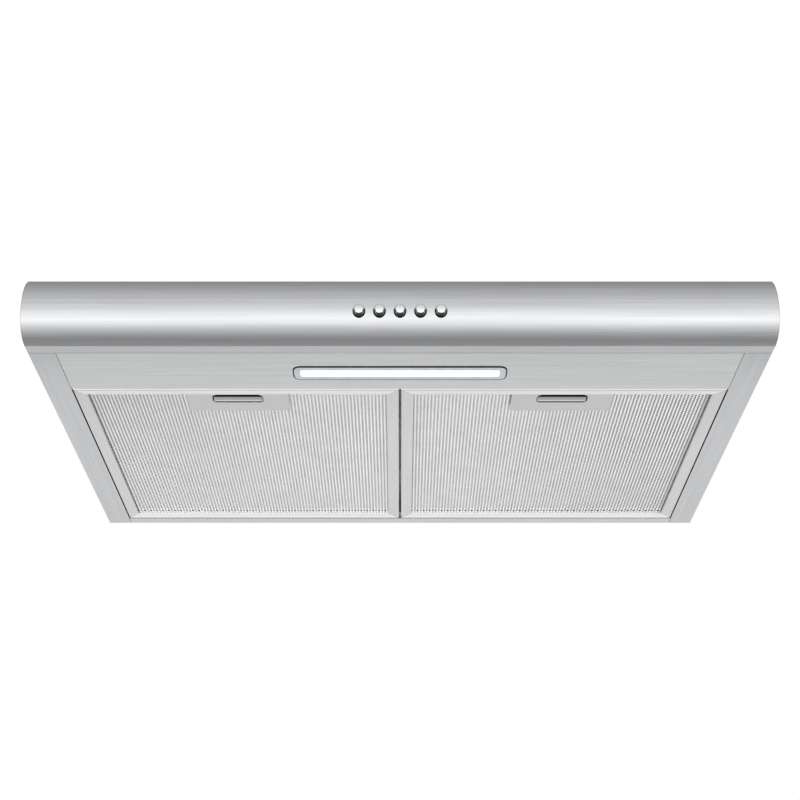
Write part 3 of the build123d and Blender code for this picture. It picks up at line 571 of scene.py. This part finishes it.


# Tone of the studio by angle round the X axis, from level front, upwards positive, in degrees
# The tones are fitted for the look of the metal, and are not those of a real room
STUDIO_BANDS = (
    (-180, "C8"), (-168, "C8"), (-164, "BA"), (-157, "CA"), (-151.5, "DA"), (-148.5, "7A"),
    (-141, "7E"), (-134, "84"), (-114, "7A"), (-98, "8A"), (-82, "9E"), (-60, "C2"),
    (-42, "E6"), (-32, "FA"), (-22, "EE"), (0, "D9"), (20, "C6"), (31, "BB"), (39, "AD"),
    (69, "9B"), (91, "8A"), (131, "74"), (180, "74"),
)
# Tone of the panels at the two sides, and of the black flags at their front
SIDE_PANEL = "EEEEEE"
SIDE_FLAG = "101010"


class SceneOperator:
    """What every step shares: it is undone in one step and is listed under one panel."""

    bl_options = {"REGISTER", "UNDO"}


class HOOD_OT_stage(SceneOperator, bpy.types.Operator):
    """Make the floor, the studio light and the camera."""

    bl_idname = "hood.stage"
    bl_label = "Stage"

    def execute(self, context):
        size = context.scene.hood_stage
        self.make_floor(size)
        self.make_light(context, size)
        data = bpy.data.cameras.new("camera")
        data.lens = size.camera_lens
        data.clip_end = 100.0
        camera = bpy.data.objects.new("camera", data)
        camera.location = (0, size.camera_y, size.camera_z)
        camera.rotation_euler = (math.pi / 2 + size.camera_pitch, 0, 0)
        context.scene.collection.objects.link(camera)
        context.scene.camera = camera
        context.scene.view_settings.view_transform = "Standard"
        return {"FINISHED"}

    def make_floor(self, size):
        """Plain pale floor, which the metal doesn't mirror, so that only the studio tones it."""
        reach, height = size.floor_half, size.floor_z
        mesh = bpy.data.meshes.new("floor")
        corners = [(-reach, -reach), (reach, -reach), (reach, reach), (-reach, reach)]
        mesh.from_pydata([(x, y, height) for x, y in corners], [], [(0, 1, 2, 3)])
        mesh.materials.append(grained("floor_paper_matt", "F2F2F1", "F5F5F4", 3.0, 0.9, 0.01))
        floor = bpy.data.objects.new("floor", mesh)
        floor.visible_glossy = False
        bpy.context.scene.collection.objects.link(floor)

    def make_light(self, context, size):
        """Studio of soft panels as bands of tone round the X axis, white to the camera."""
        world = bpy.data.worlds.new("studio")
        world.use_nodes = True
        context.scene.world = world
        tree = world.node_tree
        tree.nodes.clear()
        place = add_node(tree, "ShaderNodeTexCoord")
        way = add_node(tree, "ShaderNodeSeparateXYZ", {"Vector": place.outputs["Generated"]})
        front = add_node(
            tree, "ShaderNodeMath", {0: way.outputs["Y"], 1: -1.0}, operation="MULTIPLY",
        )
        turn = add_node(
            tree, "ShaderNodeMath",
            {0: way.outputs["Z"], 1: front.outputs[0]}, operation="ARCTAN2",
        )
        share = add_node(
            tree, "ShaderNodeMapRange",
            {"Value": turn.outputs[0], "From Min": -math.pi, "From Max": math.pi},
        )
        bands = add_node(tree, "ShaderNodeValToRGB", {"Fac": share.outputs["Result"]})
        ramp = bands.color_ramp
        ramp.interpolation = "LINEAR"
        while len(ramp.elements) > 1:
            ramp.elements.remove(ramp.elements[-1])
        for i, (angle, tone) in enumerate(STUDIO_BANDS):
            place_on_ramp = (angle + 180) / 360
            element = ramp.elements[0] if i == 0 else ramp.elements.new(place_on_ramp)
            element.position = place_on_ramp
            element.color = linear(tone * 3)
        side = add_node(tree, "ShaderNodeMath", {0: way.outputs["X"]}, operation="ABSOLUTE")
        share_of_side = add_node(
            tree, "ShaderNodeMapRange",
            {"Value": side.outputs[0], "From Min": 0.7, "From Max": 0.84},
            interpolation_type="SMOOTHSTEP",
        )
        share_of_front = add_node(
            tree, "ShaderNodeMapRange",
            {"Value": front.outputs[0], "From Min": 0.03, "From Max": 0.16},
            interpolation_type="SMOOTHSTEP",
        )
        side_tone = blend(tree, share_of_front.outputs["Result"], SIDE_PANEL, SIDE_FLAG)
        tones = blend(tree, share_of_side.outputs["Result"], bands.outputs["Color"], side_tone)
        studio = add_node(tree, "ShaderNodeBackground", {"Color": tones, "Strength": size.gain})
        paper = add_node(
            tree, "ShaderNodeBackground", {"Color": linear("FFFFFF"), "Strength": 1.0}
        )
        ray = add_node(tree, "ShaderNodeLightPath")
        seen = add_node(
            tree, "ShaderNodeMixShader",
            {0: ray.outputs["Is Camera Ray"], 1: studio.outputs[0], 2: paper.outputs[0]},
        )
        add_node(tree, "ShaderNodeOutputWorld", {"Surface": seen.outputs[0]})


class HOOD_OT_casing(SceneOperator, bpy.types.Operator):
    """Finish the folded steel casing and its rivets."""

    bl_idname = "hood.casing"
    bl_label = "Casing"

    def execute(self, context):
        paint("stainless", "visor_front", "back_panel")
        # Side panels and end caps take the darker copy of the sheet, as painted shade
        paint(
            "stainless_side_painted_shade", "side_panel_left", "side_panel_right",
            "visor_end_cap_left", "visor_end_cap_right",
        )
        # The lamp panel takes the brighter copy of the sheet, as painted light
        paint("stainless_lamp_painted_light", "lamp_panel")
        paint("zinc", "canopy_shell", "filter_hinge_brackets", "filter_centre_rail")
        paint("rivet", "casing_rivets")
        return {"FINISHED"}


class HOOD_OT_lamp(SceneOperator, bpy.types.Operator):
    """Finish the strip lamp, its tray, diodes and power supply."""

    bl_idname = "hood.lamp"
    bl_label = "Lamp"

    def execute(self, context):
        size = context.scene.hood_lamp
        low, high = box_mm("lamp_bezel")
        window_low, window_high = box_mm("lamp_diffuser")
        middle = ((low.x + high.x) / 2, (low.y + high.y) / 2)
        outside = (high.x - low.x, high.y - low.y, size.corner)
        window = (
            window_high.x - window_low.x + size.window_gap,
            window_high.y - window_low.y + size.window_gap, size.window_corner,
        )
        shadow_ring = (
            outside[0] - size.shadow_ring_end, outside[1] - size.shadow_ring_edge, size.shadow_ring_corner,
        )
        lens = (
            shadow_ring[0] - size.clearance, shadow_ring[1] - size.clearance,
            size.shadow_ring_corner - size.clearance / 2,
        )
        thin = (low.z, low.z + size.shadow_ring_depth)
        deep = (low.z, high.z)
        # The black ring paints the shadow in the gap between lamp and panel
        self.ring(
            "lamp_shadow_ring", middle, outside, shadow_ring, thin, size.soft, "rubber", "black_rubber",
        )
        self.ring(
            "lamp_surround", middle, lens, window, deep, size.soft, "clear", "clear_lamp_plastic",
        )
        paint("opal", "lamp_diffuser")
        paint("enamel", "lamp_housing")
        paint("board", "led_board")
        paint("black", "led_driver")
        return {"FINISHED"}

    def outline(self, middle, length, width, radius):
        """Rectangle with rounded corners, as points in plan."""
        points = []
        for turn, sx, sy in ((0, 1, 1), (90, -1, 1), (180, -1, -1), (270, 1, -1)):
            x = middle[0] + sx * (length / 2 - radius)
            y = middle[1] + sy * (width / 2 - radius)
            for k in range(CORNER_FACETS + 1):
                angle = math.radians(turn + 90 * k / CORNER_FACETS)
                points.append((x + radius * math.cos(angle), y + radius * math.sin(angle)))
        return points

    def ring(self, name, middle, outside, inside, heights, soft, finish_name, slot):
        """A flat ring between two rounded rectangles, its lower outer edge softened."""
        base, top = heights
        length, width, radius = outside
        loops = (
            (self.outline(middle, length - 2 * soft, width - 2 * soft, radius - soft), base),
            (self.outline(middle, *outside), base + soft),
            (self.outline(middle, *outside), top),
            (self.outline(middle, *inside), top),
            (self.outline(middle, *inside), base),
        )
        points = [(x, y, z) for loop, z in loops for x, y in loop]
        count = len(loops[0][0])
        faces = []
        for i in range(len(loops)):
            j = (i + 1) % len(loops)
            for k in range(count):
                n = (k + 1) % count
                faces.append([i * count + k, i * count + n, j * count + n, j * count + k])
        mesh_piece(name, points, faces, finishes[finish_name], "canopy", ["lamp_bezel"])


class HOOD_OT_filter_bars(SceneOperator, bpy.types.Operator):
    """Make the four rolled, mitred bars round each grease filter."""

    bl_idname = "hood.filter_bars"
    bl_label = "Filter frames"

    def execute(self, context):
        size = context.scene.hood_bars
        for side in SIDES:
            low, high = box_mm(f"filter_frame_{side}")
            outer = [(low.x, low.y), (high.x, low.y), (high.x, high.y), (low.x, high.y)]
            widths = [size.front, size.side, size.rear, size.side]
            inner = [
                (low.x + size.side, low.y + size.front), (high.x - size.side, low.y + size.front),
                (high.x - size.side, high.y - size.rear), (low.x + size.side, high.y - size.rear),
            ]
            for name, which in (("across", (0, 2)), ("along", (1, 3))):
                points, faces = [], []
                for i in which:
                    self.add_bar(points, faces, outer, inner, i, widths[i], low.z, high.z, size)
                mesh_piece(
                    f"filter_bars_{name}_{side}", points, faces, finishes[f"bar_{name}"],
                    f"filter_{side}", [f"filter_frame_{side}"],
                )
        return {"FINISHED"}

    def arc(self, inward, up, radius, start, end):
        """Points of an arc about a centre, with its angles in degrees."""
        points = []
        for k in range(ROLL_FACETS + 1):
            angle = math.radians(start + (end - start) * k / ROLL_FACETS)
            points.append((inward + radius * math.cos(angle), up + radius * math.sin(angle)))
        return points

    def section(self, width, base, top, size):
        """Rolled channel as (inward, up) points, anticlockwise from the top of the outer wall."""
        wall, roll, turn = size.wall, size.roll, size.turn
        line = [(0, top)] + self.arc(roll, base + roll, roll, 180, 270)
        # Two extra points beside the rolls keep the face between them flat in the shading
        line += [(roll + size.guard, base), (width - turn - size.guard, base)]
        line += self.arc(width - turn, base + turn, turn, 270, 360)
        line += [(width, base + size.lip), (width - wall, base + size.lip), (width - wall, base + wall)]
        line += self.arc(roll, base + roll, roll - wall, 270, 180)
        line += [(wall, top - wall), (size.ledge, top - wall), (size.ledge, top)]
        return line

    def add_bar(self, points, faces, outer, inner, i, width, base, top, size):
        """One bar between two corners, its ends cut along the lines from outer to inner corner."""
        start = len(points)
        ends = (i, (i + 1) % 4)
        line = self.section(width, base, top, size)
        for corner in ends:
            for inward, z in line:
                share = inward / width
                points.append([
                    outer[corner][0] + (inner[corner][0] - outer[corner][0]) * share,
                    outer[corner][1] + (inner[corner][1] - outer[corner][1]) * share,
                    z,
                ])
        count = len(line)
        for k in range(count):
            n = (k + 1) % count
            faces.append([start + k, start + n, start + count + n, start + count + k])
        faces.append([start + k for k in range(count)])
        faces.append([start + count + k for k in range(count)][::-1])


class HOOD_OT_filter_meshes(SceneOperator, bpy.types.Operator):
    """Make the expanded face and rear meshes, and finish the foil pack between them."""

    bl_idname = "hood.filter_meshes"
    bl_label = "Filter meshes"

    def execute(self, context):
        size = context.scene.hood_mesh
        for side in SIDES:
            cup_low, cup_high = box_mm(f"latch_cup_{side}")
            plate_high = box_mm(f"handle_plate_{side}")[1]
            for layer, z, step, width in (
                ("front", size.front_z, size.step, size.width),
                ("rear", size.rear_z, size.rear_step, size.rear_width),
            ):
                low, high = box_mm(f"{layer}_mesh_{side}")
                points, faces = [], []
                count = round((high.x - low.x - size.margin) / size.pitch)
                first = (low.x + high.x - (count - 1) * size.pitch) / 2
                for k in range(count):
                    x = first + k * size.pitch
                    reach = size.swing + width
                    behind_cup = cup_low.x - reach < x < cup_high.x + reach
                    start = plate_high.y if behind_cup else low.y
                    self.add_strand(points, faces, x, start, high.y, k, z, step, width, size)
                mesh_piece(
                    f"expanded_{layer}_{side}", points, faces, finishes["strand"],
                    f"filter_{side}", [f"{layer}_mesh_{side}"], size.crease,
                )
            paint("foil", f"mesh_pack_{side}")
        return {"FINISHED"}

    def add_strand(self, points, faces, x, y0, y1, phase, z, step, width, size):
        """One twisted ribbon that swings from side to side, closed at both ends."""
        start = len(points)
        flat = Vector((math.cos(size.tilt), 0, math.sin(size.tilt))) * width / 2
        thick = Vector((-math.sin(size.tilt), 0, math.cos(size.tilt))) * size.gauge / 2
        stations = math.ceil((y1 - y0) / step)
        for k in range(stations + 1):
            sway = size.swing * (1 if (k + phase) % 2 else -1)
            middle = Vector((x + sway, y0 + k * step, z))
            for a, b in ((-1, -1), (1, -1), (1, 1), (-1, 1)):
                points.append(middle + flat * a + thick * b)
        for k in range(stations):
            base = start + 4 * k
            for a in range(4):
                b = (a + 1) % 4
                faces.append([base + a, base + b, base + 4 + b, base + 4 + a])
        end = start + 4 * stations
        faces.append([start + 3, start + 2, start + 1, start])
        faces.append([end, end + 1, end + 2, end + 3])


class HOOD_OT_filter_handles(SceneOperator, bpy.types.Operator):
    """Finish each filter's handle plate, latch and springs."""

    bl_idname = "hood.filter_handles"
    bl_label = "Filter handles"

    def execute(self, context):
        for side in SIDES:
            paint("satin", f"handle_plate_{side}")
            paint("black", f"latch_cup_{side}")
            # The slide's web is painted black, as painted shade in the slot
            paint("pull", f"latch_slide_{side}")
            paint("wire", f"latch_springs_{side}")
        return {"FINISHED"}


class HOOD_OT_controls(SceneOperator, bpy.types.Operator):
    """Finish the push buttons and the switches behind them."""

    bl_idname = "hood.controls"
    bl_label = "Controls"

    def execute(self, context):
        # Each button's darker barrel is painted shade under its cap
        paint("chrome", *(f"button_{k + 1}" for k in range(BUTTON_COUNT)))
        paint("wire", "button_springs")
        paint("black", "switch_block")
        paint("zinc", "switch_bracket")
        return {"FINISHED"}


class HOOD_OT_blower(SceneOperator, bpy.types.Operator):
    """Finish the fan, its motor and their mounting."""

    bl_idname = "hood.blower"
    bl_label = "Blower"

    def execute(self, context):
        paint("grey", "scroll_lower", "scroll_upper", "intake_grille", "impeller")
        paint("motor", "motor")
        paint("wire", "motor_shaft")
        paint("zinc", "motor_bracket")
        paint("rubber", "motor_grommets")
        paint("capacitor", "capacitor")
        return {"FINISHED"}


class HOOD_OT_outlet(SceneOperator, bpy.types.Operator):
    """Finish the outlet box, duct collar and damper flaps."""

    bl_idname = "hood.outlet"
    bl_label = "Outlet"

    def execute(self, context):
        paint("black", "outlet_plenum", "duct_collar")
        paint("grey", "damper_flap_left", "damper_flap_right")
        paint("wire", "flap_pin")
        return {"FINISHED"}


class HOOD_OT_mains(SceneOperator, bpy.types.Operator):
    """Finish the junction box, terminals and wiring."""

    bl_idname = "hood.mains"
    bl_label = "Mains"

    def execute(self, context):
        paint("black", "junction_box", "junction_cover", "harness_clips")
        paint("nylon", "terminal_block")
        paint("rubber", "cable_bushing")
        paint("sleeve", "wiring_harness")
        return {"FINISHED"}


STEPS = (
    HOOD_OT_stage, HOOD_OT_casing, HOOD_OT_lamp, HOOD_OT_filter_bars, HOOD_OT_filter_meshes,
    HOOD_OT_filter_handles, HOOD_OT_controls, HOOD_OT_blower, HOOD_OT_outlet, HOOD_OT_mains,
)
SIZES = {
    "hood_stage": HoodStage, "hood_lamp": HoodLamp, "hood_mesh": HoodMesh, "hood_bars": HoodBars,
}


class HOOD_PT_panel(bpy.types.Panel):
    """The steps that build the hood, in order."""

    bl_idname = "HOOD_PT_panel"
    bl_label = "Range hood"
    bl_space_type = "VIEW_3D"
    bl_region_type = "UI"
    bl_category = "Hood"

    def draw(self, context):
        for step in STEPS:
            self.layout.operator(step.bl_idname)


def register():
    for group in (*SIZES.values(), *STEPS, HOOD_PT_panel):
        bpy.utils.register_class(group)
    for name, group in SIZES.items():
        setattr(bpy.types.Scene, name, bpy.props.PointerProperty(type=group))


def unregister():
    for name in SIZES:
        delattr(bpy.types.Scene, name)
    for group in (HOOD_PT_panel, *reversed(STEPS), *SIZES.values()):
        bpy.utils.unregister_class(group)


finishes = {}


def main():
    register()
    finishes.update(make_finishes())
    bpy.ops.hood.stage()
    bpy.ops.hood.casing()
    bpy.ops.hood.lamp()
    bpy.ops.hood.filter_bars()
    bpy.ops.hood.filter_meshes()
    bpy.ops.hood.filter_handles()
    bpy.ops.hood.controls()
    bpy.ops.hood.blower()
    bpy.ops.hood.outlet()
    bpy.ops.hood.mains()


if __name__ == "__main__":
    main()
